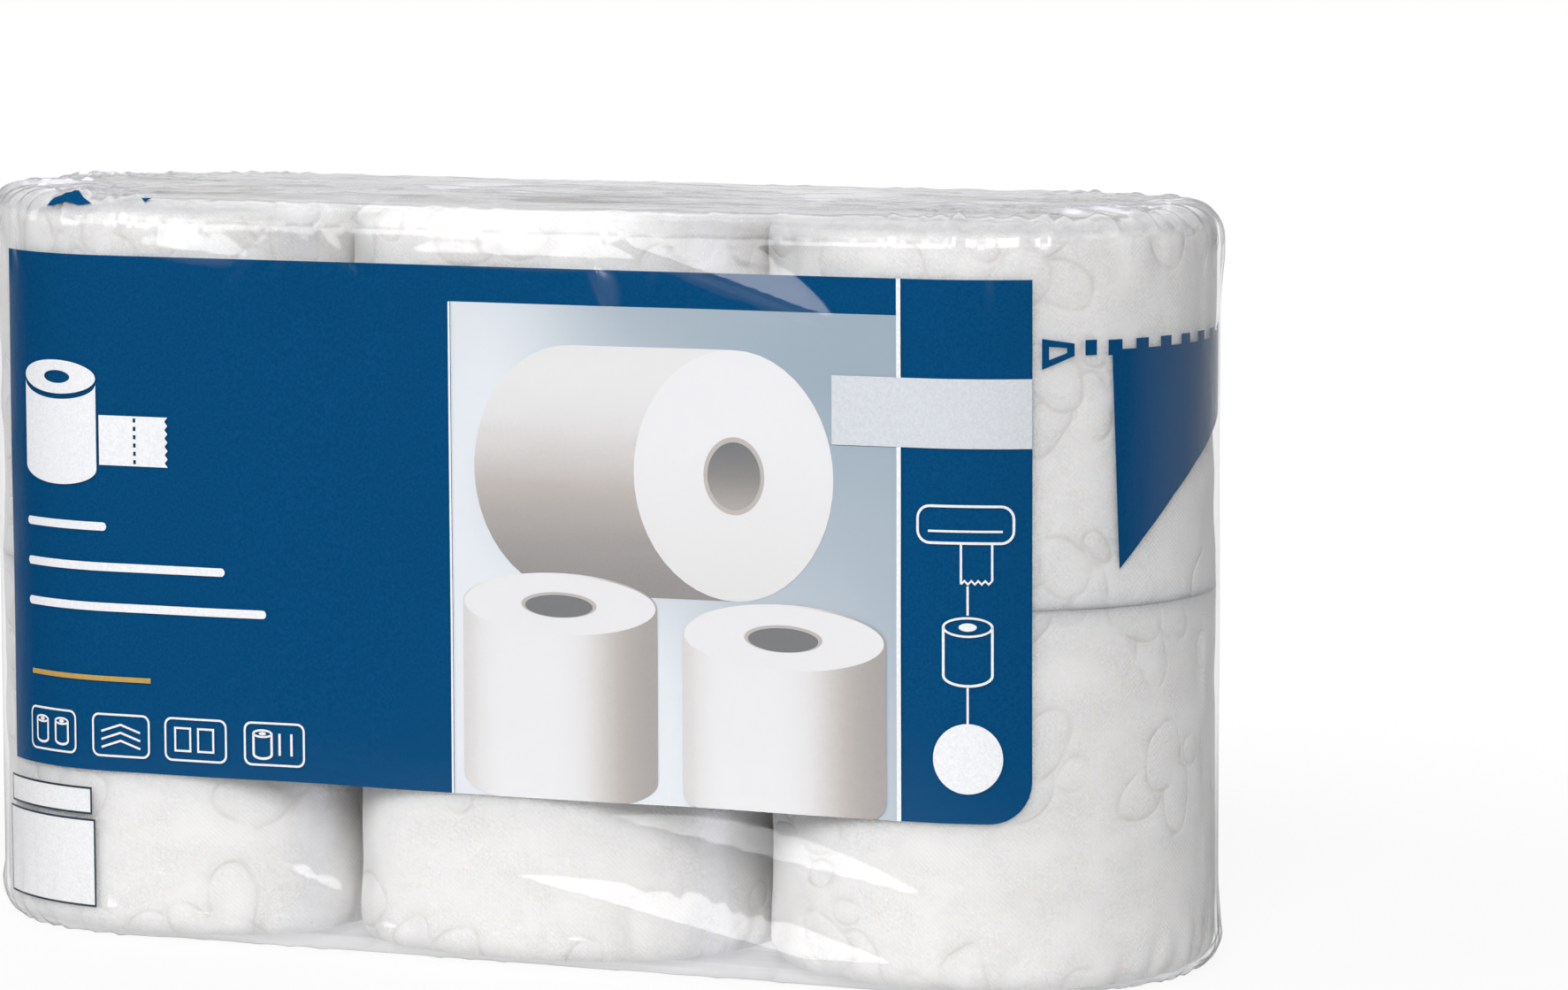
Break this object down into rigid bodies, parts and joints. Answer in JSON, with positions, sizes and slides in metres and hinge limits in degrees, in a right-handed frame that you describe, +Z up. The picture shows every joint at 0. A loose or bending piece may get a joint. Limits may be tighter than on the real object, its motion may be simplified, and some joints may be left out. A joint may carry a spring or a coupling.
{
  "type": "toilet paper roll pack",
  "caption": "Film-wrapped pack of toilet paper rolls standing on end in two layers, with rounded ends, gathered film rims and sealed flaps.",
  "frame": {"origin": "centre of the pack's outline on the surface that it stands on", "axes": "+X along the three rolls, to the right seen from the front; the front faces -Y; +Z up, along the rolls' own axes"},
  "size_m": [0.3562, 0.1182, 0.2036],
  "materials": {
    "film": "clear printed film with soft glare",
    "tissue": "matt, embossed",
    "core_board": "matt"
  },
  "bodies": {
    "root": {"wrap_film": "film", "tissue_roll_bottom_left": "tissue", "tissue_roll_bottom_middle": "tissue", "tissue_roll_bottom_right": "tissue", "tissue_roll_top_left": "tissue", "tissue_roll_top_middle": "tissue", "tissue_roll_top_right": "tissue", "cardboard_cores": "core_board"}
  },
  "joints": []
}
